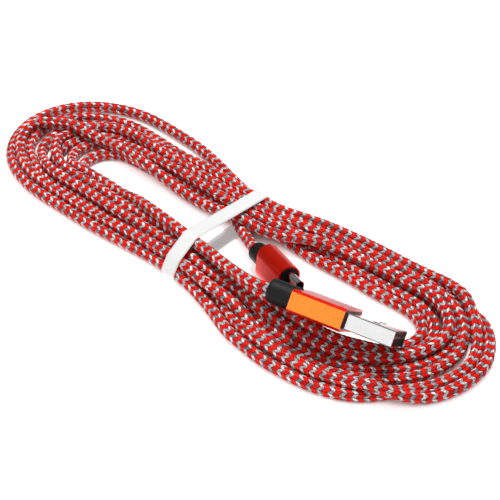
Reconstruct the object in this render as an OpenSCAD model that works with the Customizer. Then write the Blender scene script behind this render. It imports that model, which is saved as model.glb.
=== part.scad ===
// Braided charging cable, coiled into a long flat hank and held by a white band.
// A wide flat plug and a small oval plug end the cord, both in red metal housings.
// X runs along the hank, Y across it, Z up from the surface it rests on.

/* [Cord] */
// diameter of the braided cord
cord_d = 3.5; // [3:0.1:4.5]

/* [Hank] */
// height of the stacked turns
hank_h = 7.0; // [5:0.5:10]

/* [Tie band] */
// width of the band
tie_w = 4.9; // [3:0.1:8]
// thickness of the strip
tie_t = 0.4; // [0.2:0.1:1]
// where the band crosses the hank
tie_x = -1.5; // [-3:0.5:0]

/* [Flat plug] */
// bare length of the metal shell
a_shell_out = 13.8; // [11:0.1:16]
// width and thickness of the metal shell
a_shell_w = 12.0; // [12:0.1:12.5]
a_shell_t = 4.5; // [4.5:0.1:4.6]
// length, width and thickness of the housing
a_house_l = 15.5; // [12:0.5:25]
a_house_w = 16.0; // [14:0.1:18]
a_house_t = 6.3; // [6:0.1:8]
// chamfer along the housing's four long edges
a_chamfer = 0.75; // [0.3:0.05:1.5]
// collar behind the housing
a_collar_l = 8.8; // [4:0.1:15]
a_collar_d = 6.9; // [5:0.1:9]

/* [Oval plug] */
// bare length of the metal shell
c_shell_out = 6.4; // [6:0.1:7]
// width and thickness of the metal shell
c_shell_w = 8.3; // [8.2:0.05:8.4]
c_shell_t = 2.5; // [2.4:0.05:2.6]
// length, width and thickness of the housing
c_house_l = 14.0; // [10:0.5:20]
c_house_w = 10.8; // [10:0.1:13]
c_house_t = 6.6; // [5:0.1:8]
// collar behind the housing
c_collar_l = 6.8; // [4:0.1:12]
c_collar_d = 5.8; // [4.5:0.1:8]

/* [Hidden] */
$fn = 48;

// where each plug's mouth centre lies and how the plug is turned
a_tip = [69.0, -5.2, 10.5];
a_turn = [-40, 1.5, 14];
c_tip = [37.4, -8.7, 9.1];
c_turn = [-101, -10, -22];

// colours
braid_red = [0.75, 0.08, 0.06];
metal_red = [0.80, 0.10, 0.06];
steel = [0.80, 0.80, 0.82];
black = [0.06, 0.06, 0.06];
gold = [0.85, 0.68, 0.25];
white = [0.92, 0.92, 0.90];
grey = [0.55, 0.55, 0.55];
green = [0.10, 0.45, 0.20];
wire_colours = [[0.8, 0.1, 0.1], [0.9, 0.9, 0.9], [0.1, 0.5, 0.2], [0.1, 0.1, 0.1]];

// small gap left round a piece that passes through another
slip = 0.05;
a_wall = 0.3;
c_wall = 0.28;
bore_d = cord_d + 2 * slip;
neck_d = 4.8;
neck_l = 0.8;
wire_d = 0.7;
wire_start = 0.1;
// where each wire leaves the crimp, across and up
wire_seat = [[-0.45, 0.45], [-0.45, -0.45], [0.45, -0.45], [0.45, 0.45]];
wire_lead = 0.7;
// how far a cutting solid runs past the face it opens
past = 1;

// stations along the flat plug, measured back from its mouth
a_front = -a_shell_out;
a_rear = a_front - a_house_l;
a_end = a_rear - a_collar_l;
a_shell_rear = -19;
a_tail = -20.5;
a_crimp_front = -24.6;
a_house_wall = 0.5;
a_contact_y = [-3.5, -1.0, 1.0, 3.5];
a_contact_front = [-1.2, -2.2, -2.2, -1.2];
a_contact_w = 1.0;
a_contact_t = 0.25;
a_tongue_top = 0.05;
a_tongue_set = 0.5;
a_tongue_l = -a_shell_rear - a_tongue_set - 0.1;
a_mould_set = 0.1;
a_wire_room = [10, 2.6];
// the shell's two latch windows: distance behind the mouth, length, width and place across
a_window_rear = -7.4;
a_window_l = 2.2;
a_window_w = 2.5;
a_window_y = 2.8;

// stations along the oval plug
c_front = -c_shell_out;
c_rear = c_front - c_house_l;
c_end = c_rear - c_collar_l;
c_shell_rear = -8.4;
c_house_wall = 0.45;
c_room = 0.85;
wall_gap = 0.3;
c_board_rear = -13.4;
c_board_t = 0.6;
c_crimp_front = -16.4;
c_contact_t = 0.14;
c_contact_w = 0.25;
c_contact_pitch = 0.5;
c_contacts = 12;
c_latch_y = 3.40;
c_latch_t = 0.2;
c_latch_h = 0.55;
c_latch_front = -1.0;
c_latch_root = -6.3;
c_latch_hook = 0.25;
c_latch_gap = 0.12;
c_plate_t = 0.2;
c_insert_l = 1.4;
c_insert_set = 0.2;
c_insulator_set = 0.4;
c_contact_tail = 1.2;
c_contact_set = 1.5;
c_contact_l = c_contact_tail - c_shell_rear - c_contact_set;
c_board_w = 7.4;
c_wire_room = [7.4, 2.2];
c_wire_y = [-2.4, -0.8, 0.8, 2.4];
// profile of the latch arm's hook, measured back from its tip
c_hook_front = 0.4;
c_hook_back = 0.8;
c_hook_root = 1.3;

// the hank's outer and inner outlines, seen from above
hank_outer = [[-89.5, 1], [-87, 12], [-80, 21], [-70, 28], [-58, 31], [-45, 30], [-26, 26],
  [-9.5, 22.5], [-1.5, 21.5], [7.5, 22.5], [20, 26.5], [38, 30], [54, 30.5], [66, 27.5], [76, 22],
  [84, 15], [88.5, 5], [87.5, -3], [82, -12], [76, -20], [70, -26], [60, -29.5], [47, -29.5],
  [30, -27], [14.5, -24.5], [-1.5, -21], [-17.5, -22], [-40, -24], [-55, -24.5], [-68, -22.5],
  [-79, -16], [-86, -8]];
hank_inner = [[-57, 3], [-54, 6.5], [-45, 7.8], [-10, 7.9], [12, 8.9], [27, 10], [38, 12.3],
  [50, 12], [60, 10], [67, 6], [70, 0.5], [69, -5], [65, -9], [54, -12], [40, -12.8], [28, -11.4],
  [10, -7.6], [-10, -3.6], [-45, -2.4], [-54, -1]];
hank_gap = 0.05;

// routes of the two loose leads: out of the hank at the band, through the collar to the crimp
lead_a_free = [[1.5, -11.1, 6.2], [6, -11.9, 7.6], [12, -13.2, 9.2], [20, -14.8, 10.5],
  [26, -15.4, 11.2]];
lead_c_free = [[-14, 8.6, 2.2], [-3, 7.9, 2.3], [4, 5.4, 2.7], [8.5, 3.1, 3.4]];

// inner side of the band's loop: how far it reaches each way across the hank, and its height
tie_low_y = -21.8;
tie_high_y = 22.1;
tie_room = 0.05;

// sides of each swept tube, and its rings between two points of its route
sides = 8;
lead_steps = 4;
wire_steps = 2;

function turn_x(a, p) = [p[0], p[1] * cos(a) - p[2] * sin(a), p[1] * sin(a) + p[2] * cos(a)];
function turn_y(a, p) = [p[0] * cos(a) + p[2] * sin(a), p[1], p[2] * cos(a) - p[0] * sin(a)];
function turn_z(a, p) = [p[0] * cos(a) - p[1] * sin(a), p[0] * sin(a) + p[1] * cos(a), p[2]];
function placed(tip, turn, p) = tip + turn_z(turn[2], turn_y(turn[1], turn_x(turn[0], p)));

lead_a = concat(lead_a_free, [placed(a_tip, a_turn, [a_end, 0, 0]),
  placed(a_tip, a_turn, [a_crimp_front, 0, 0])]);
lead_c = concat(lead_c_free, [placed(c_tip, c_turn, [c_end, 0, 0]),
  placed(c_tip, c_turn, [c_crimp_front, 0, 0])]);

module at_a() { translate(a_tip) rotate(a_turn) children(); }
module at_c() { translate(c_tip) rotate(c_turn) children(); }

// extrudes a section drawn in Y and Z along X
module along(x0, x1) { translate([x0, 0, 0]) rotate([90, 0, 90]) linear_extrude(x1 - x0) children(); }

module stadium(w, t) {
  square([w - t, t], center = true);
  for (s = [-1, 1]) translate([s * (w - t) / 2, 0]) circle(d = t);
}

module chamfered(w, t, c) {
  polygon([[w / 2 - c, t / 2], [w / 2, t / 2 - c], [w / 2, c - t / 2], [w / 2 - c, -t / 2],
    [c - w / 2, -t / 2], [-w / 2, c - t / 2], [-w / 2, t / 2 - c], [c - w / 2, t / 2]]);
}

// tube swept along a smooth curve through the route's points
function unit(v) = v / norm(v);
function at(route, i) = route[max(0, min(len(route) - 1, i))];
function spline(p0, p1, p2, p3, t) = 0.5 * (2 * p1 + (p2 - p0) * t
  + (2 * p0 - 5 * p1 + 4 * p2 - p3) * t * t + (3 * p1 - p0 - 3 * p2 + p3) * t * t * t);
function centres(route, steps) = concat(
  [for (i = [0 : len(route) - 3], k = [0 : steps - 1])
    spline(at(route, i - 1), route[i], route[i + 1], at(route, i + 2), k / steps)],
  [route[len(route) - 2], route[len(route) - 1]]);
function ring(c, dir, d) = let (u = unit(cross([0, 0, 1], dir)), v = cross(unit(dir), u))
  [for (k = [0 : sides - 1]) c + d / 2 * (cos(360 * k / sides) * u + sin(360 * k / sides) * v)];

module tube(route, d, steps) {
  c = centres(route, steps);
  n = len(c);
  rings = [for (i = [0 : n - 1]) ring(c[i], c[min(n - 1, i + 1)] - c[max(0, i - 1)], d)];
  points = [for (r = rings, p = r) p];
  walls = [for (i = [0 : n - 2], k = [0 : sides - 1]) let (m = (k + 1) % sides)
    [i * sides + k, (i + 1) * sides + k, (i + 1) * sides + m, i * sides + m]];
  first = [for (k = [0 : sides - 1]) k];
  last = [for (k = [sides - 1 : -1 : 0]) (n - 1) * sides + k];
  polyhedron(points, concat([first], walls, [last]));
}

module cord_hank() color(braid_red) difference() {
  linear_extrude(hank_h) difference() {
    polygon(hank_outer);
    polygon(hank_inner);
  }
  // seat for the band's run beneath the turns
  translate([tie_x - tie_w / 2 - hank_gap, 2 * tie_low_y, -past])
    cube([tie_w + 2 * hank_gap, 4 * tie_high_y, past + tie_t]);
}

module cord_lead_a() color(braid_red) tube(lead_a, cord_d, lead_steps);
module cord_lead_c() color(braid_red) tube(lead_c, cord_d, lead_steps);

// rounded rectangle with its lower left corner at the origin
module rounded(w, h, r) {
  translate([r, 0]) square([w - 2 * r, h]);
  translate([0, r]) square([w, h - 2 * r]);
  for (x = [r, w - r], y = [r, h - r]) translate([x, y]) circle(r = r);
}

module tie_band() color(white) translate([tie_x - tie_w / 2, 0, 0])
  rotate([90, 0, 90]) linear_extrude(tie_w) difference() {
    translate([tie_low_y - tie_t, 0])
      rounded(tie_high_y - tie_low_y + 2 * tie_t, hank_h + tie_room + 2 * tie_t, 2 * tie_t);
    translate([tie_low_y, tie_t]) square([tie_high_y - tie_low_y, hank_h + tie_room]);
  }

// flat plug
module a_shell() color(steel) at_a() difference() {
  along(a_shell_rear, 0) chamfered(a_shell_w, a_shell_t, a_wall);
  along(a_shell_rear - past, past) square([a_shell_w - 2 * a_wall, a_shell_t - 2 * a_wall], center = true);
  for (y = [-a_window_y, a_window_y]) translate([a_window_rear, y - a_window_w / 2, -a_shell_t])
    cube([a_window_l, a_window_w, 2 * a_shell_t]);
}

module a_tongue() color(black) at_a() difference() {
  translate([-a_tongue_set - a_tongue_l, -a_shell_w / 2 + a_wall, -a_shell_t / 2 + a_wall])
    cube([a_tongue_l, a_shell_w - 2 * a_wall, a_tongue_top + a_shell_t / 2 - a_wall]);
  for (i = [0 : 3]) translate([a_shell_rear - past, a_contact_y[i] - a_contact_w / 2,
    a_tongue_top - a_contact_t]) cube([a_contact_front[i] - a_shell_rear + past, a_contact_w, past]);
}

module a_contact(i) color(gold) at_a()
  translate([a_tail, a_contact_y[i] - a_contact_w / 2, a_tongue_top - a_contact_t])
    cube([a_contact_front[i] - a_tail, a_contact_w, a_contact_t]);

module a_contact_1() a_contact(0);
module a_contact_2() a_contact(1);
module a_contact_3() a_contact(2);
module a_contact_4() a_contact(3);

module a_mould() color(grey) at_a() difference() {
  along(a_rear + a_house_wall, a_front - a_mould_set)
    chamfered(a_house_w - 2 * a_house_wall, a_house_t - 2 * a_house_wall, a_chamfer);
  along(a_shell_rear, 0) square([a_shell_w, a_shell_t], center = true);
  along(a_crimp_front, a_shell_rear + past) square(a_wire_room, center = true);
  along(a_rear, a_crimp_front + past) circle(d = neck_d + 2 * slip);
}

module a_housing() color(metal_red) at_a() difference() {
  along(a_rear, a_front) chamfered(a_house_w, a_house_t, a_chamfer);
  along(a_rear + a_house_wall, a_front + past)
    chamfered(a_house_w - 2 * a_house_wall, a_house_t - 2 * a_house_wall, a_chamfer);
  along(a_rear - past, a_rear + past) circle(d = neck_d + 2 * slip);
}

// round collar with a softened rear edge and a neck that enters the housing
module collar(end, rear, d, wall) {
  edge = 1.0;
  difference() {
    translate([end, 0, 0]) rotate([0, 90, 0]) rotate_extrude() union() {
      translate([0, edge]) square([d / 2, rear - end - edge]);
      square([d / 2 - edge, 2 * edge]);
      translate([d / 2 - edge, edge]) circle(r = edge);
      translate([0, rear - end - edge]) square([neck_d / 2, neck_l + edge]);
    }
    along(end - past, rear + 2 * past) circle(d = bore_d);
  }
}

module crimp(rear, front) difference() {
  along(rear + neck_l, front) circle(d = neck_d);
  along(rear, front + past) circle(d = bore_d);
}

module a_collar() color(black) at_a() collar(a_end, a_rear, a_collar_d);
module a_crimp() color(steel) at_a() crimp(a_rear, a_crimp_front);

// wire from the crimp to a contact's tail or a pad, both given across and up
module plug_wire(rear, front, seat, pad) {
  tube([[rear + wire_start, seat[0], seat[1]], [rear + wire_lead, seat[0], seat[1]],
    [front - wire_lead, pad[0], pad[1]], [front - wire_start / 2, pad[0], pad[1]]],
    wire_d, wire_steps);
}

module a_wire(i) color(wire_colours[i]) at_a()
  plug_wire(a_crimp_front, a_tail, wire_seat[i], [a_contact_y[i], 0]);

module a_wire_1() a_wire(0);
module a_wire_2() a_wire(1);
module a_wire_3() a_wire(2);
module a_wire_4() a_wire(3);

// oval plug
module c_shell() color(steel) at_c() difference() {
  along(c_shell_rear, 0) stadium(c_shell_w, c_shell_t);
  along(c_shell_rear - past, past) stadium(c_shell_w - 2 * c_wall, c_shell_t - 2 * c_wall);
}

module c_insulator() color(black) at_c() difference() {
  along(c_shell_rear, -c_insulator_set) stadium(c_shell_w - 2 * c_wall, c_shell_t - 2 * c_wall);
  translate([c_latch_root - wall_gap, -c_shell_w, -c_room / 2]) cube([c_shell_w, 2 * c_shell_w, c_room]);
  for (s = [-1, 1]) contact_row(s);
  latch_plate(c_shell_rear - past);
}

// a row of thin bars along the insulator's inner face
module contact_row(s) {
  for (i = [0 : c_contacts - 1])
    translate([c_shell_rear - c_contact_tail, (i - (c_contacts - 1) / 2) * c_contact_pitch - c_contact_w / 2,
      s > 0 ? c_board_t / 2 : -c_board_t / 2 - c_contact_t])
      cube([c_contact_l, c_contact_w, c_contact_t]);
}

module c_contacts_top() color(gold) at_c() contact_row(1);
module c_contacts_bottom() color(gold) at_c() contact_row(-1);

// fixed sheet between the two rows, with a lug at each side that carries a latch arm
module latch_plate(rear) {
  front = c_latch_root - c_latch_gap;
  translate([rear, -c_latch_y, -c_plate_t / 2]) cube([front - rear, 2 * c_latch_y, c_plate_t]);
  for (s = [-1, 1]) translate([rear, s * (c_latch_y + c_latch_t / 2) - c_latch_t / 2, -c_latch_h / 2])
    cube([front - rear, c_latch_t, c_latch_h]);
}

module c_latch_plate() color(steel) at_c() latch_plate(c_shell_rear);

// springy side arm with an inward hook at its free end
module latch(s) {
  mirror([0, s > 0 ? 0 : 1, 0]) translate([0, 0, -c_latch_h / 2]) linear_extrude(c_latch_h) polygon([
    [c_latch_root, c_latch_y], [c_latch_front - c_hook_root, c_latch_y],
    [c_latch_front - c_hook_back, c_latch_y - c_latch_hook],
    [c_latch_front - c_hook_front, c_latch_y - c_latch_hook],
    [c_latch_front, c_latch_y], [c_latch_front, c_latch_y + c_latch_t],
    [c_latch_root, c_latch_y + c_latch_t]]);
}

module c_latch_left() color(steel) at_c() latch(1);
module c_latch_right() color(steel) at_c() latch(-1);

module c_board() color(green) at_c()
  translate([c_board_rear, -c_board_w / 2, -c_board_t / 2])
    cube([c_shell_rear - c_board_rear, c_board_w, c_board_t]);

module c_insert() color(black) at_c() difference() {
  along(c_front - c_insert_set - c_insert_l, c_front - c_insert_set)
    stadium(c_house_w - 2 * c_house_wall, c_house_t - 2 * c_house_wall);
  along(c_rear, 0) stadium(c_shell_w, c_shell_t);
}

module c_mould() color(grey) at_c() difference() {
  along(c_rear + c_house_wall, c_front - c_insert_set - c_insert_l)
    stadium(c_house_w - 2 * c_house_wall, c_house_t - 2 * c_house_wall);
  along(c_shell_rear, 0) stadium(c_shell_w, c_shell_t);
  along(c_crimp_front, c_shell_rear + past) square(c_wire_room, center = true);
  along(c_rear, c_crimp_front + past / 2) circle(d = neck_d + 2 * slip);
}

module c_housing() color(metal_red) at_c() difference() {
  along(c_rear, c_front) stadium(c_house_w, c_house_t);
  along(c_rear + c_house_wall, c_front + past)
    stadium(c_house_w - 2 * c_house_wall, c_house_t - 2 * c_house_wall);
  along(c_rear - past, c_rear + past) circle(d = neck_d + 2 * slip);
}

module c_collar() color(black) at_c() collar(c_end, c_rear, c_collar_d);
module c_crimp() color(steel) at_c() crimp(c_rear, c_crimp_front);

module c_wire(i) color(wire_colours[i]) at_c()
  plug_wire(c_crimp_front, c_board_rear, wire_seat[i], [c_wire_y[i], 0]);

module c_wire_1() c_wire(0);
module c_wire_2() c_wire(1);
module c_wire_3() c_wire(2);
module c_wire_4() c_wire(3);

cord_hank();
cord_lead_a();
cord_lead_c();
tie_band();
a_shell();
a_tongue();
a_contact_1();
a_contact_2();
a_contact_3();
a_contact_4();
a_mould();
a_housing();
a_collar();
a_crimp();
a_wire_1();
a_wire_2();
a_wire_3();
a_wire_4();
c_shell();
c_insulator();
c_contacts_top();
c_contacts_bottom();
c_latch_left();
c_latch_right();
c_latch_plate();
c_board();
c_insert();
c_mould();
c_housing();
c_collar();
c_crimp();
c_wire_1();
c_wire_2();
c_wire_3();
c_wire_4();
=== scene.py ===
import math
import bpy
import numpy as np
from mathutils import Euler, Matrix, Vector


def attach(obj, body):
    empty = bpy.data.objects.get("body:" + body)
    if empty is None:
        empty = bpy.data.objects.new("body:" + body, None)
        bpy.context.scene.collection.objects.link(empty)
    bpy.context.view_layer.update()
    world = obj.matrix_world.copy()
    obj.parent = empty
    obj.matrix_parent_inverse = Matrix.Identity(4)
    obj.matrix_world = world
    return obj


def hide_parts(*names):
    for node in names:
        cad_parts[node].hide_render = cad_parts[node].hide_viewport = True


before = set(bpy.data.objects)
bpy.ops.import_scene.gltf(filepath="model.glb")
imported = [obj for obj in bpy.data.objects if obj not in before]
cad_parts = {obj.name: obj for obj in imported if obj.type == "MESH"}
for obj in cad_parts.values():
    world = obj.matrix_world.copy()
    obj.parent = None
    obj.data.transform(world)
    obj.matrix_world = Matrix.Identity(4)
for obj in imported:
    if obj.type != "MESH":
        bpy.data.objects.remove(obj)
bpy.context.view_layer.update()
MM = 0.001

# ---------------------------------------------------------------- camera
AIM = Vector((7.5, 4.0, 0.0)) * MM
CAMERA_AWAY = 0.400
CAMERA_RISE = math.radians(40)
CAMERA_TURN = math.radians(43)
SENSOR = 36.0
# the focal length, in picture widths
FOCAL_WIDTHS = 2.744
LENS = SENSOR * FOCAL_WIDTHS


def make_camera():
    right = Vector((math.cos(CAMERA_TURN), math.sin(CAMERA_TURN), 0))
    away = Vector((-math.sin(CAMERA_TURN), math.cos(CAMERA_TURN), 0))
    look = away * math.cos(CAMERA_RISE) - Vector((0, 0, 1)) * math.sin(CAMERA_RISE)
    data = bpy.data.cameras.new("camera")
    data.lens = LENS
    data.sensor_width = SENSOR
    data.clip_start = 0.01
    data.clip_end = 20
    camera = bpy.data.objects.new("camera", data)
    camera.location = AIM - look * CAMERA_AWAY
    up = right.cross(look)
    camera.rotation_mode = "QUATERNION"
    camera.rotation_quaternion = Matrix((right, up, -look)).transposed().to_quaternion()
    bpy.context.collection.objects.link(camera)
    bpy.context.scene.camera = camera


# ---------------------------------------------------------------- plugs' places
A_TIP = (69.0, -5.2, 10.5)
A_TURN = (-40, 1.5, 14)
A_END = -38.1
C_TIP = (37.4, -8.7, 9.1)
C_TURN = (-101, -10, -22)
C_END = -27.2


def place(tip, turn):
    angles = Euler([math.radians(a) for a in turn], "XYZ")
    matrix = angles.to_matrix().to_4x4()
    matrix.translation = Vector(tip)
    return matrix


A_PLACE = place(A_TIP, A_TURN)
C_PLACE = place(C_TIP, C_TURN)


def placed(matrix, x, y=0.0, z=0.0):
    return list(matrix @ Vector((x, y, z)))


# ---------------------------------------------------------------- cord route
CORD_D = 3.5
CORD_R = CORD_D / 2
LOW = CORD_R
BAND = 0.4
TIE_X = -1.5
TIE_SKEW = -0.04
LEFT_X = -42.0
RIGHT_X = 46.0
ROUNDING = 1.15
RIGHT_LEAN = 6.0
ARC_STEPS = 8
FINE_STEPS = 24
ROUTE_STEP = 1.2

LEAD_A = [(26, -15.4, 11.2), (20, -14.8, 10.5), (12, -13.2, 9.3), (6, -11.9, 8.4)]
LEAD_C = [(4, 5.6, 2.7), (8.5, 3.2, 3.4)]

# One turn passes over the left end's inner turns to the inner side of the far leg.
OVER_LEFT = [
    (-60, -17.4, 4.9), (-72, -14.4, 4.9), (-79.5, -9.0, 5.0), (-82.3, -2.8, 5.6),
    (-79.5, 2.2, 7.0), (-72, 5.2, 8.3), (-60, 7.4, 8.3), (-50, 8.6, 7.6)]

# Each turn in order from the flat plug, as its near leg's band crossing and left station, its
# left end, its far leg's left station, band crossing and right station, its right end, and its
# near leg's right station. Legs give (across, height) and ends give (along, height). The turn
# whose left end is None takes OVER_LEFT there, and the last one stops at the oval plug's lead.
TURNS = [
    ((-11.0, 7.7), (-7.0, 4.8), (-64.5, 4.8), (12.3, 4.8),
     (11.9, 5.3), (15.5, 3.0), (69.3, 4.0), (-12.8, 4.8)),
    ((-10.3, 5.2), (-10.4, 4.8), (-70.5, 4.8), (15.8, 4.8),
     (15.2, 5.3), (22.4, 4.9), (77.6, 4.8), (-21.6, 4.7)),
    ((-17.3, 5.2), (-17.9, 4.9), None, (8.8, 6.2),
     (8.6, 5.4), (19.5, 5.2), (73.5, 4.8), (-16.2, 4.9)),
    ((-13.8, 5.2), (-13.9, 4.8), (-76.0, 4.8), (19.5, 4.8),
     (18.6, 5.3), (27.0, 4.6), (83.3, 2.4), (-28.2, LOW)),
    ((-19.0, 2.2), (-20.9, LOW), (-87.4, 2.2), (28.8, LOW),
     (20.3, 2.2), (24.8, LOW), (86.0, 2.0), (-24.3, 6.0)),
    ((-15.5, 2.2), (-15.0, LOW), (-81.8, LOW), (21.2, LOW),
     (17.0, 2.2), (20.6, LOW), (75.0, LOW), (-18.5, LOW)),
    ((-12.0, 2.2), (-11.6, LOW), (-69.7, LOW), (14.7, LOW),
     (13.5, 2.2), (13.5, LOW), (67.0, LOW), (-12.8, LOW)),
    ((-8.5, 2.2), (-8.2, LOW), (-58.3, LOW), (10.0, LOW),
     (8.4, 2.3), None, None, None),
]


def arc(start, reach, end, side, lean=0.0):
    """Half an ellipse from one leg (across, height) to the other, round the hank's end."""
    half = abs(end[0] - start[0]) / 2
    middle = (end[0] + start[0]) / 2
    foot = reach[0] - side * ROUNDING * half
    points = []
    for i in range(1, ARC_STEPS):
        t = math.pi * i / ARC_STEPS
        swing = math.sin(t)
        along = foot + (reach[0] - foot) * swing + lean * math.cos(t)
        across = middle + (start[0] - middle) * math.cos(t)
        ends = start[1] + (end[1] - start[1]) * i / ARC_STEPS
        height = ends + (reach[1] - ends) * swing
        points.append((along, across, height))
    return points


def hank_route():
    route = [placed(A_PLACE, A_END + 4), placed(A_PLACE, A_END)] + LEAD_A
    for near_tie, near_left, left, far_left, far_tie, far_right, right, near_right in TURNS:
        route.append((TIE_X, *near_tie))
        route.append((LEFT_X, *near_left))
        route += arc(near_left, left, far_left, -1) if left else OVER_LEFT
        route.append((LEFT_X, *far_left))
        route.append((TIE_X, *far_tie))
        if right:
            route.append((RIGHT_X, *far_right))
            route += arc(far_right, right, near_right, 1, RIGHT_LEAN)
            route.append((RIGHT_X, *near_right))
    return np.array(route + LEAD_C + [placed(C_PLACE, C_END), placed(C_PLACE, C_END + 4)])


def resample(points, step):
    gaps = np.linalg.norm(np.diff(points, axis=0), axis=1)
    at = np.concatenate([[0], np.cumsum(gaps)])
    count = int(round(at[-1] / step)) + 1
    to = np.linspace(0, at[-1], count)
    return np.stack([np.interp(to, at, points[:, k]) for k in range(3)], 1)


def smooth_curve(points, step):
    """Cubic through the points, with chord lengths as its parameter."""
    gaps = np.linalg.norm(np.diff(points, axis=0), axis=1)
    at = np.concatenate([[0], np.cumsum(gaps)])
    slope = np.gradient(points, at, axis=0)
    fine = []
    for i in range(len(points) - 1):
        t = np.linspace(0, 1, FINE_STEPS, endpoint=False)[:, None]
        h = gaps[i]
        a = 2 * t**3 - 3 * t**2 + 1
        b = t**3 - 2 * t**2 + t
        c = -2 * t**3 + 3 * t**2
        d = t**3 - t**2
        fine.append(a * points[i] + b * h * slope[i] + c * points[i + 1] + d * h * slope[i + 1])
    fine.append(points[-1:])
    return resample(np.concatenate(fine), step)


# how the route settles: its spacing, its rounds, how close points count as a pair, the distance
# they're pushed to, the most that a push moves them, and the strength of each pull in a round
STEP = 1.7
ROUNDS = 260
PAIRS_EVERY = 10
NEAR = 5.0
NEIGHBOURS = 5
APART = 3.42
PUSH = 0.3
MOST = 0.6
STIFF = 0.05
HOLD = 0.02
TAUT = 0.12
GRAVITY = 0.015
# points that don't move at each plug, and points that don't sink
HELD = 10
HUNG_A = 40
HUNG_C = 30
BAND_ZONE = 4
# the plugs' solid parts, as middle and half size in each plug's own axes
PLUG_BOXES = (
    (A_PLACE, (-21.5, 0, 0), (7.8, 8, 3.2)),
    (A_PLACE, (-7, 0, 0), (7, 6, 2.3)),
    (C_PLACE, (-13.4, 0, 0), (7, 4, 3.3)))


def box_push(points, matrix, middle, half):
    """Moves points out of a turned box by the cord's radius."""
    turn = np.array(matrix.to_3x3())
    local = (points - np.array(matrix.translation)) @ turn - np.array(middle)
    inside = np.clip(local, -np.array(half), np.array(half))
    away = local - inside
    gap = np.linalg.norm(away, axis=1)
    hit = (gap < CORD_R) & (gap > 1e-6)
    push = np.zeros_like(points)
    push[hit] = away[hit] / gap[hit, None] * (CORD_R - gap[hit, None])
    return push @ turn.T


def settle(points):
    """Pushes touching turns apart, lets them sink onto the floor, and keeps the cord smooth."""
    home = points.copy()
    count = len(points)
    free = np.ones(count, bool)
    free[:HELD] = False
    free[-HELD:] = False
    loose = np.ones(count)
    loose[:HUNG_A] = 0
    loose[-HUNG_C:] = 0
    for turn in range(ROUNDS):
        if turn % PAIRS_EVERY == 0:
            pairs = []
            for i in range(count - NEIGHBOURS):
                near = np.abs(points[i + NEIGHBOURS:] - points[i]).max(1) < NEAR
                js = np.nonzero(near)[0] + i + NEIGHBOURS
                pairs.append(np.stack([np.full(len(js), i), js], 1))
            pairs = np.concatenate(pairs)
        a, b = pairs[:, 0], pairs[:, 1]
        gap = points[b] - points[a]
        size = np.linalg.norm(gap, axis=1) + 1e-9
        short = APART - size
        hit = short > 0
        move = gap[hit] / size[hit, None] * short[hit, None] * PUSH
        shift = np.zeros_like(points)
        np.add.at(shift, a[hit], -move)
        np.add.at(shift, b[hit], move)
        shift = np.clip(shift, -MOST, MOST)
        bend = np.zeros_like(points)
        bend[2:-2] = points[:-4] - 4 * points[1:-3] + 6 * points[2:-2] - 4 * points[3:-1] + points[4:]
        shift -= STIFF * bend
        shift[:, :2] += HOLD * (home[:, :2] - points[:, :2])
        shift[1:-1, 2] += TAUT * (points[:-2, 2] - 2 * points[1:-1, 2] + points[2:, 2]) * loose[1:-1]
        shift[:, 2] -= GRAVITY * loose
        points = points + shift * free[:, None]
        for matrix, middle, half in PLUG_BOXES:
            points += box_push(points, matrix, middle, half) * free[:, None]
        under_band = np.abs(points[:, 0] - TIE_X) < BAND_ZONE
        lowest = CORD_R + BAND * under_band
        points[:, 2] = np.maximum(points[:, 2], lowest)
    return points


PITCH = 2.95
RED_SHARE = 0.57
COLUMNS = 10
SLANT = 1.0
SIDES = 30
RELIEF = 0.17
TWIST = 2 * math.pi / 640
# rings in each repeat of the pattern: where, as a share of the pitch, and how high they stand
RINGS = ((0.0, 0.0), (0.19, 1.0), (0.38, 1.0), (RED_SHARE, 0.0), (0.715, 1.0), (0.86, 1.0))


def carried_frames(points):
    """Tangents along the route, and a side vector carried along it; the slow twist is added where the tube
    is built.
    """
    tangent = np.gradient(points, axis=0)
    tangent /= np.linalg.norm(tangent, axis=1)[:, None]
    side = np.zeros_like(points)
    here = np.cross(tangent[0], (0, 0, 1.0))
    for i in range(len(points)):
        here = here - tangent[i] * (here @ tangent[i])
        here /= np.linalg.norm(here)
        side[i] = here
    return tangent, side


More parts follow.
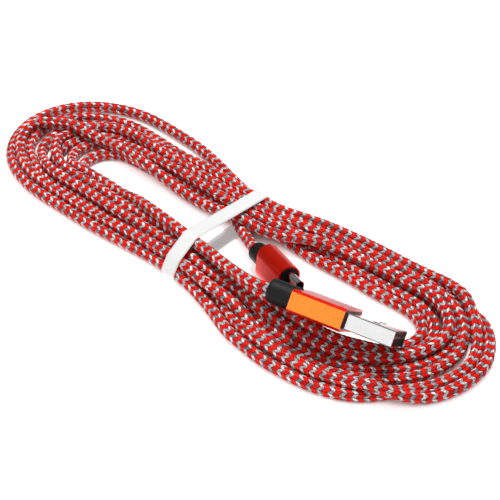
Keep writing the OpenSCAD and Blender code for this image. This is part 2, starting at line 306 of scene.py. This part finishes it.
def braided_tube(name, points):
    """The cord in mm, with its bundles as relief and a 'braid' UV map: around 0..1, along in mm."""
    tangent, side = carried_frames(points)
    at = np.concatenate([[0], np.cumsum(np.linalg.norm(np.diff(points, axis=0), axis=1))])
    repeats = np.arange(int(at[-1] / PITCH) + 2)
    stations = (repeats[:, None] + np.array([where for where, rise in RINGS])).ravel() * PITCH
    ring_rise = np.tile([rise for where, rise in RINGS], len(repeats))
    around = np.arange(SIDES) / SIDES
    column = around * COLUMNS
    zigzag = 1 - np.abs(column % 2 - 1)
    column_rise = np.sqrt(np.sin(math.pi * (column % 1)))
    along = np.clip(stations[:, None] - SLANT * zigzag, 0, at[-1])
    kept = (along.max(1) > 0) & (along.min(1) < at[-1])
    first = max(int(np.argmax(kept)) - 1, 0)
    last = len(kept) - int(np.argmax(kept[::-1])) + 1
    along = along[first:last]
    rise = ring_rise[first:last, None] * column_rise
    radius = CORD_R - RELIEF * (1 - rise)
    flat = along.ravel()
    centre = np.stack([np.interp(flat, at, points[:, k]) for k in range(3)], 1)
    forward = np.stack([np.interp(flat, at, tangent[:, k]) for k in range(3)], 1)
    right = np.stack([np.interp(flat, at, side[:, k]) for k in range(3)], 1)
    forward /= np.linalg.norm(forward, axis=1)[:, None]
    right -= forward * np.sum(forward * right, axis=1)[:, None]
    right /= np.linalg.norm(right, axis=1)[:, None]
    other = np.cross(forward, right)
    angle = (2 * math.pi * around + TWIST * along).ravel()
    outward = np.cos(angle)[:, None] * right + np.sin(angle)[:, None] * other
    verts = centre + radius.ravel()[:, None] * outward
    rows = len(along)
    here = np.arange(SIDES)
    after = (here + 1) % SIDES
    start = (np.arange(rows - 1) * SIDES)[:, None]
    faces = np.stack([start + here, start + after, start + SIDES + after, start + SIDES + here], 2)
    u = np.broadcast_to(np.stack([here, here + 1, here + 1, here], 1) / SIDES, faces.shape)
    v = flat[faces]
    uvs = np.stack([u, v], 3).reshape(-1, 2)
    ends = [list(range(SIDES - 1, -1, -1)), [(rows - 1) * SIDES + k for k in range(SIDES)]]
    uvs = np.concatenate([uvs, np.zeros((2 * SIDES, 2))])
    mesh = bpy.data.meshes.new(name)
    mesh.from_pydata((verts * MM).tolist(), [], faces.reshape(-1, 4).tolist() + ends)
    layer = mesh.uv_layers.new(name="braid")
    layer.data.foreach_set("uv", uvs.astype(np.float32).ravel())
    mesh.polygons.foreach_set("use_smooth", [True] * len(mesh.polygons))
    mesh.update()
    thing = bpy.data.objects.new(name, mesh)
    bpy.context.collection.objects.link(thing)
    return thing


make_camera()
route = settle(smooth_curve(hank_route(), STEP))
route = resample(route, ROUTE_STEP)
cord = braided_tube("cord", route)
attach(cord, "cable")
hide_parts("cord_hank", "cord_lead_a", "cord_lead_c")


# ---------------------------------------------------------------- band
BAND_W = 4.9
BAND_ROWS = 7
BAND_POINTS = 160
BAND_SLACK = 0.04
CIRCLE_POINTS = 48
# how far the strip's edges are softened: the share of its thickness lost outside, the lift inside
EDGE_LOSS = 0.35
EDGE_LIFT = 0.04
EDGE_POWER = 8


def convex_loop(points):
    """Corners of the convex hull of flat points, in order."""
    points = sorted(set(map(tuple, np.round(points, 4))))
    chains = []
    for row in (points, points[::-1]):
        chain = []
        for p in row:
            while len(chain) > 1:
                (ax, ay), (bx, by) = chain[-2], chain[-1]
                if (bx - ax) * (p[1] - ay) - (by - ay) * (p[0] - ax) > 0:
                    break
                chain.pop()
            chain.append(p)
        chains += chain[:-1]
    return np.array(chains)


def even_loop(loop, count):
    """The closed loop again, with evenly spaced points."""
    closed = np.concatenate([loop, loop[:1]])
    at = np.concatenate([[0], np.cumsum(np.linalg.norm(np.diff(closed, axis=0), axis=1))])
    to = np.linspace(0, at[-1], count, endpoint=False)
    return np.stack([np.interp(to, at, closed[:, k]) for k in range(2)], 1)


def band_loop(reach):
    """Outline (across, up) of a strip drawn tight round the strands, at a distance from their middles."""
    inside = np.abs(route[:, 0] - TIE_X) < BAND_W / 2 + BAND
    turn = np.linspace(0, 2 * math.pi, CIRCLE_POINTS, endpoint=False)
    circle = np.stack([np.cos(turn), np.sin(turn)], 1) * reach
    strands = route[inside][:, 1:]
    return even_loop(convex_loop((strands[:, None] + circle).reshape(-1, 2)), BAND_POINTS)


def band_mesh():
    """A flat strip with softened edges, closed round the hank."""
    inner = band_loop(CORD_R + BAND_SLACK)
    before = np.roll(inner, 1, axis=0)
    after = np.roll(inner, -1, axis=0)
    along = after - before
    out = np.stack([along[:, 1], -along[:, 0]], 1)
    out /= np.linalg.norm(out, axis=1)[:, None]
    verts = []
    rows = []
    steps = np.linspace(-1, 1, BAND_ROWS)
    skin = [(s, BAND * (1 - EDGE_LOSS * abs(s) ** EDGE_POWER)) for s in steps]
    skin += [(s, EDGE_LIFT * abs(s) ** EDGE_POWER) for s in steps[::-1]]
    for s, lift in skin:
        loop = inner + out * lift
        rows.append(len(verts))
        verts += [(TIE_X + TIE_SKEW * y + s * BAND_W / 2, y, max(z, 0.02)) for y, z in loop]
    faces = []
    for r in range(len(rows)):
        a, b = rows[r], rows[(r + 1) % len(rows)]
        for k in range(BAND_POINTS):
            m = (k + 1) % BAND_POINTS
            faces.append((a + k, b + k, b + m, a + m))
    mesh = bpy.data.meshes.new("band")
    mesh.from_pydata([tuple(c * MM for c in v) for v in verts], [], faces)
    mesh.polygons.foreach_set("use_smooth", [True] * len(faces))
    mesh.update()
    thing = bpy.data.objects.new("band", mesh)
    bpy.context.collection.objects.link(thing)
    return thing


band = band_mesh()
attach(band, "cable")
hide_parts("tie_band")


# ---------------------------------------------------------------- materials
class Nodes:
    """Small helper that builds a material's node tree."""

    def __init__(self, name):
        self.material = bpy.data.materials.new(name)
        self.material.use_nodes = True
        self.tree = self.material.node_tree
        self.shader = self.tree.nodes["Principled BSDF"]

    def set(self, name, value):
        self.value(self.shader.inputs[name], value)

    def value(self, socket, v):
        if isinstance(v, bpy.types.NodeSocket):
            self.tree.links.new(v, socket)
        else:
            socket.default_value = v

    def math(self, kind, a, b=0.0, c=0.0):
        n = self.tree.nodes.new("ShaderNodeMath")
        n.operation = kind
        for socket, v in zip(n.inputs, (a, b, c)):
            self.value(socket, v)
        return n.outputs[0]

    def smooth(self, v, low, high, to_low=0.0, to_high=1.0):
        n = self.tree.nodes.new("ShaderNodeMapRange")
        n.interpolation_type = "SMOOTHSTEP"
        settings = {"Value": v, "From Min": low, "From Max": high, "To Min": to_low, "To Max": to_high}
        for key, x in settings.items():
            self.value(n.inputs[key], x)
        return n.outputs[0]

    def mix(self, factor, a, b, kind="MIX"):
        n = self.tree.nodes.new("ShaderNodeMix")
        n.data_type = "RGBA"
        n.blend_type = kind
        self.value(n.inputs[0], factor)
        self.value(n.inputs[6], a)
        self.value(n.inputs[7], b)
        return n.outputs[2]

    def place(self):
        return self.tree.nodes.new("ShaderNodeTexCoord").outputs["Object"]

    def noise(self, scale, detail=2.0, stretch=(1, 1, 1), turn=(0, 0, 0)):
        mapping = self.tree.nodes.new("ShaderNodeMapping")
        mapping.inputs["Scale"].default_value = stretch
        mapping.inputs["Rotation"].default_value = turn
        self.tree.links.new(self.place(), mapping.inputs["Vector"])
        n = self.tree.nodes.new("ShaderNodeTexNoise")
        n.inputs["Scale"].default_value = scale
        n.inputs["Detail"].default_value = detail
        self.tree.links.new(mapping.outputs[0], n.inputs["Vector"])
        return n.outputs[0]

    def bump(self, height, strength, distance):
        n = self.tree.nodes.new("ShaderNodeBump")
        n.inputs["Strength"].default_value = strength
        n.inputs["Distance"].default_value = distance
        self.tree.links.new(height, n.inputs["Height"])
        self.tree.links.new(n.outputs[0], self.shader.inputs["Normal"])


def colour(red, green, blue):
    return (red, green, blue, 1.0)


def braid_material():
    """Two-colour braid: zigzag stripes of red and silver grey bundles, each of a few shiny yarns, with
    painted light in the colour: lit and shaded columns, white painted glints, and painted shade in the
    grooves.
    """
    m = Nodes("braid")
    uv = m.tree.nodes.new("ShaderNodeUVMap")
    uv.uv_map = "braid"
    split = m.tree.nodes.new("ShaderNodeSeparateXYZ")
    m.tree.links.new(uv.outputs[0], split.inputs[0])
    around = m.math("MULTIPLY", split.outputs[0], COLUMNS)
    zigzag = m.math("PINGPONG", around, 1.0)
    phase = m.math("DIVIDE", m.math("ADD", split.outputs[1], m.math("MULTIPLY", zigzag, SLANT)), PITCH)
    place_in = m.math("FRACT", phase)
    is_grey = m.math("GREATER_THAN", place_in, RED_SHARE)
    # place across one bundle, 0 to 1, for the wider red ones and the narrower grey ones
    in_red = m.math("DIVIDE", place_in, RED_SHARE)
    in_grey = m.math("DIVIDE", m.math("SUBTRACT", place_in, RED_SHARE), 1 - RED_SHARE)
    red_part = m.math("MULTIPLY", in_red, m.math("SUBTRACT", 1.0, is_grey))
    in_bundle = m.math("ADD", red_part, m.math("MULTIPLY", in_grey, is_grey))
    # one random value for each bundle
    cell = m.tree.nodes.new("ShaderNodeCombineXYZ")
    m.value(cell.inputs[0], m.math("FLOOR", around))
    m.value(cell.inputs[1], m.math("FLOOR", phase))
    m.value(cell.inputs[2], is_grey)
    random = m.tree.nodes.new("ShaderNodeTexWhiteNoise")
    random.noise_dimensions = "3D"
    m.tree.links.new(cell.outputs[0], random.inputs["Vector"])
    chance = random.outputs["Value"]
    # painted light: alternate columns are lit and shaded copies, as if one slant's yarns caught the light
    # and the other's did not; with the random value for each bundle this chooses between a shaded and a lit
    # red
    painted_column_light = m.math("MODULO", m.math("FLOOR", around), 2.0)
    painted_light_and_tone = m.math("ADD", m.math("MULTIPLY", painted_column_light, 0.45), m.math("MULTIPLY", chance, 0.65))
    red = m.mix(painted_light_and_tone, colour(0.44, 0.001, 0.001), colour(0.90, 0.009, 0.001))
    # painted glints: fine noise spots the lit grey bundles with white, as if the yarns' filaments sparkled
    strands = m.smooth(m.noise(1900.0, 2.0), 0.44, 0.58)
    painted_glint = m.math("MULTIPLY", painted_light_and_tone, m.math("ADD", 0.38, m.math("MULTIPLY", strands, 0.62)))
    grey = m.mix(painted_glint, colour(0.10, 0.10, 0.115), colour(1.0, 1.0, 1.0))
    base = m.mix(is_grey, red, grey)
    # grooves between bundles, and yarns within each, as relief and as painted shade in the colour
    across = m.math("ABSOLUTE", m.math("SUBTRACT", in_bundle, 0.5))
    crown = m.smooth(across, 0.3, 0.5, 1.0, 0.0)
    edge = m.math("ABSOLUTE", m.math("SUBTRACT", m.math("FRACT", around), 0.5))
    dive = m.smooth(edge, 0.34, 0.5, 1.0, 0.0)
    yarn = m.math("SINE", m.math("MULTIPLY", in_bundle, 2 * math.pi * 4))
    # painted shade: the colour darkens to 0.14 in the grooves between bundles, and a little at each yarn's
    # sides
    painted_groove_shade = m.smooth(m.math("MULTIPLY", crown, dive), 0.0, 0.6, 0.14, 1.0)
    painted_groove_shade = m.math("MULTIPLY", painted_groove_shade, m.math("ADD", 0.93, m.math("MULTIPLY", yarn, 0.07)))
    grain = m.math("ADD", 0.82, m.math("MULTIPLY", m.noise(2200.0), 0.36))
    # tone carries the painted groove shade times the random grain, and is multiplied into the base colour
    tone = m.tree.nodes.new("ShaderNodeCombineColor")
    for socket in tone.inputs:
        m.value(socket, m.math("MULTIPLY", painted_groove_shade, grain))
    m.set("Base Color", m.mix(1.0, base, tone.outputs[0], "MULTIPLY"))
    m.set("Roughness", m.math("SUBTRACT", 0.46, m.math("MULTIPLY", is_grey, 0.14)))
    m.set("Specular IOR Level", 0.10)
    height = m.math("MULTIPLY", crown, m.math("ADD", 0.4, m.math("MULTIPLY", dive, 0.6)))
    m.bump(m.math("ADD", height, m.math("MULTIPLY", yarn, 0.12)), 0.8, 0.00016)
    return m.material


def band_material():
    """White plastic strip, faintly ribbed along its length, with a painted glow that lifts it where it lies
    in shade.
    """
    m = Nodes("band")
    cloud = m.noise(90.0)
    fine = m.noise(700.0, 3.0, (1, 0.15, 0.15))
    m.set("Base Color", m.mix(cloud, colour(0.40, 0.40, 0.40), colour(0.46, 0.46, 0.455)))
    # painted light: the strip glows a little, though it is no lamp, to brighten its shaded runs under the
    # cords
    m.set("Emission Color", colour(1, 1, 1))
    m.set("Emission Strength", 0.24)
    m.set("Roughness", m.math("ADD", 0.42, m.math("MULTIPLY", fine, 0.16)))
    m.bump(fine, 0.25, 0.00005)
    return m.material


def red_metal(name, broad, metallic, rough, painted_lit_faces):
    """Anodised red aluminium with dark specks, and a painted light tint where a mask picks faces, as if
    those faces were brightly lit.
    """
    m = Nodes(name)
    grain = m.noise(5200.0, 3.0)
    speck = m.smooth(m.noise(2600.0, 2.0), 0.56, 0.72)
    cloud = m.noise(120.0)
    base = m.mix(cloud, colour(*broad), colour(*[c * 0.82 for c in broad]))
    # the masked faces get the tint as painted light
    if painted_lit_faces:
        mask, tint = painted_lit_faces
        cloudy = m.mix(cloud, colour(*tint), colour(*[c * 0.93 for c in tint]))
        base = m.mix(mask(m), base, cloudy)
    base = m.mix(m.math("MULTIPLY", speck, 0.85), base, m.mix(0.75, base, colour(0.45, 0.04, 0.0)))
    m.set("Base Color", base)
    m.set("Metallic", metallic)
    m.set("Roughness", m.math("ADD", rough, m.math("MULTIPLY", grain, 0.12)))
    m.set("Specular IOR Level", 0.2)
    m.bump(grain, 0.35, 0.00002)
    return m.material


def facing(direction, low, high):
    """Mask of the faces that look along a direction fixed to the plug, either way."""
    def build(m):
        normal = m.tree.nodes.new("ShaderNodeNewGeometry").outputs["True Normal"]
        dot = m.tree.nodes.new("ShaderNodeVectorMath")
        dot.operation = "DOT_PRODUCT"
        m.tree.links.new(normal, dot.inputs[0])
        dot.inputs[1].default_value = direction
        return m.smooth(m.math("ABSOLUTE", dot.outputs["Value"]), low, high)
    return build


def plated_metal(name, tone, rough, tint=(1, 1, 1)):
    """Bright plating with faint drawing lines along it and soft smudges."""
    m = Nodes(name)
    smudge = m.noise(260.0, 3.0)
    lines = m.noise(900.0, 2.0, (0.08, 1, 1))
    light = colour(*[tone * t for t in tint])
    dark = colour(*[tone * t * 0.86 for t in tint])
    m.set("Base Color", m.mix(smudge, light, dark))
    m.set("Metallic", 1.0)
    m.set("Roughness", m.math("ADD", rough, m.math("MULTIPLY", smudge, 0.10)))
    m.bump(lines, 0.12, 0.00003)
    return m.material


def black_plastic(name, tone, rough, painted_reflection=None):
    """Moulded plastic with a fine spark-eroded grain, with a painted pinkish reflection on the faces a mask
    picks.
    """
    m = Nodes(name)
    grain = m.noise(3000.0, 3.0)
    cloud = m.noise(180.0)
    base = m.mix(cloud, colour(tone, tone, tone * 1.05), colour(tone * 1.9, tone * 1.9, tone * 2.0))
    if painted_reflection:
        base = m.mix(painted_reflection(m), base, m.mix(cloud, colour(0.95, 0.66, 0.64), colour(0.85, 0.55, 0.53)))
    m.set("Base Color", base)
    m.set("Specular IOR Level", 0.18)
    m.set("Roughness", m.math("ADD", rough, m.math("MULTIPLY", grain, 0.15)))
    m.bump(grain, 0.5, 0.00004)
    return m.material


def soft_plastic(name, tone):
    """Wire insulation, inner moulds and the board's varnish."""
    m = Nodes(name)
    cloud = m.noise(300.0)
    grain = m.noise(2400.0)
    m.set("Base Color", m.mix(cloud, colour(*tone), colour(*[c * 0.7 for c in tone])))
    m.set("Roughness", m.math("ADD", 0.35, m.math("MULTIPLY", grain, 0.2)))
    m.bump(grain, 0.3, 0.00003)
    return m.material


def dress(material, *names):
    """Gives CAD nodes a material, in each slot they have."""
    for name in names:
        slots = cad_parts[name].data.materials
        for i in range(len(slots)):
            slots[i] = material


A_SIDE = tuple(A_PLACE.to_3x3() @ Vector((0, 1, 0)))
cord.data.materials.append(braid_material())
band.data.materials.append(band_material())
# painted light: both side faces of the flat plug get an orange tint, as if brightly lit
PAINTED_LIT_SIDES = (facing(A_SIDE, 0.9, 0.97), (1.0, 0.23, 0.030))
dress(red_metal("red_a", (0.50, 0.004, 0.001), 0.75, 0.22, PAINTED_LIT_SIDES), "a_housing")
dress(red_metal("red_c", (0.72, 0.010, 0.001), 0.72, 0.26, None), "c_housing")
A_UP = tuple(A_PLACE.to_3x3() @ Vector((0, 0, 1)))
dress(plated_metal("plated_a", 0.60, 0.08), "a_shell")
dress(plated_metal("plated_c", 0.74, 0.08), "c_shell")
dress(plated_metal("crimp_steel", 0.62, 0.28), "a_crimp", "c_crimp")
dress(plated_metal("spring_steel", 0.55, 0.25), "c_latch_left", "c_latch_right", "c_latch_plate")
CONTACTS = ["a_contact_%d" % n for n in range(1, 5)]
dress(plated_metal("gold", 0.85, 0.16, (1.0, 0.78, 0.32)), "c_contacts_top", "c_contacts_bottom", *CONTACTS)
dress(black_plastic("collar_rubber", 0.003, 0.45), "a_collar", "c_collar")
dress(black_plastic("insert_plastic", 0.004, 0.50), "c_insert", "c_insulator")
# painted reflection: the tongue's top faces are pale pink, standing in for light reflected inside the
# plug's mouth
dress(black_plastic("tongue_plastic", 0.004, 0.50, facing(A_UP, 0.9, 0.97)), "a_tongue")
dress(soft_plastic("rim", (0.05, 0.004, 0.003)), "a_mould")
dress(soft_plastic("mould", (0.30, 0.30, 0.30)), "c_mould")
dress(soft_plastic("varnish", (0.02, 0.20, 0.06)), "c_board")
WIRES = ((0.60, 0.02, 0.02), (0.75, 0.75, 0.73), (0.03, 0.30, 0.07), (0.02, 0.02, 0.02))
for number, tone in enumerate(WIRES, 1):
    dress(soft_plastic("wire_%d" % number, tone), "a_wire_%d" % number, "c_wire_%d" % number)


# ---------------------------------------------------------------- floor and light
FLOOR_SIZE = 6
FLOOR_DROP = 0.0002
FLOOR_GLOW = 0.60
OPEN_REACH = 0.010
SKY_LOW = 0.04
SKY_HIGH = 0.28


def stage():
    """A plain white floor that glows a little where it is open, under a sky darker near the horizon."""
    bpy.ops.mesh.primitive_plane_add(size=FLOOR_SIZE, location=(0, 0, -FLOOR_DROP))
    floor = bpy.context.object
    floor.name = "floor"
    m = Nodes("floor")
    m.set("Base Color", colour(0.94, 0.94, 0.94))
    m.set("Roughness", 0.7)
    m.set("Specular IOR Level", 0.0)
    m.set("Emission Color", colour(1, 1, 1))
    open_floor = m.tree.nodes.new("ShaderNodeAmbientOcclusion")
    open_floor.inputs["Distance"].default_value = OPEN_REACH
    m.set("Emission Strength", m.smooth(open_floor.outputs["AO"], 0.08, 0.5, 0.0, FLOOR_GLOW))
    floor.data.materials.append(m.material)
    world = bpy.data.worlds.new("studio")
    bpy.context.scene.world = world
    world.use_nodes = True
    tree = world.node_tree
    direction = tree.nodes.new("ShaderNodeTexCoord").outputs["Generated"]
    split = tree.nodes.new("ShaderNodeSeparateXYZ")
    ramp = tree.nodes.new("ShaderNodeMapRange")
    ramp.interpolation_type = "SMOOTHSTEP"
    tree.links.new(direction, split.inputs[0])
    tree.links.new(split.outputs[2], ramp.inputs["Value"])
    for key, x in (("From Min", 0.0), ("From Max", 0.7), ("To Min", SKY_LOW), ("To Max", SKY_HIGH)):
        ramp.inputs[key].default_value = x
    tree.links.new(ramp.outputs[0], tree.nodes["Background"].inputs["Strength"])
    tree.nodes["Background"].inputs["Color"].default_value = colour(1, 1, 1)


def area(name, place_at, size, power):
    """A square soft box that looks at the hank's middle."""
    data = bpy.data.lights.new(name, "AREA")
    data.shape = "SQUARE"
    data.size = size
    data.energy = power
    light = bpy.data.objects.new(name, data)
    light.location = place_at
    light.rotation_mode = "QUATERNION"
    light.rotation_quaternion = (-Vector(place_at)).to_track_quat("-Z", "Y")
    bpy.context.collection.objects.link(light)


stage()
area("key", (-0.05, 0.16, 0.74), 0.22, 7.0)
area("fill", (-0.10, -0.60, 0.42), 0.80, 2.6)
bpy.context.scene.view_settings.view_transform = "Standard"
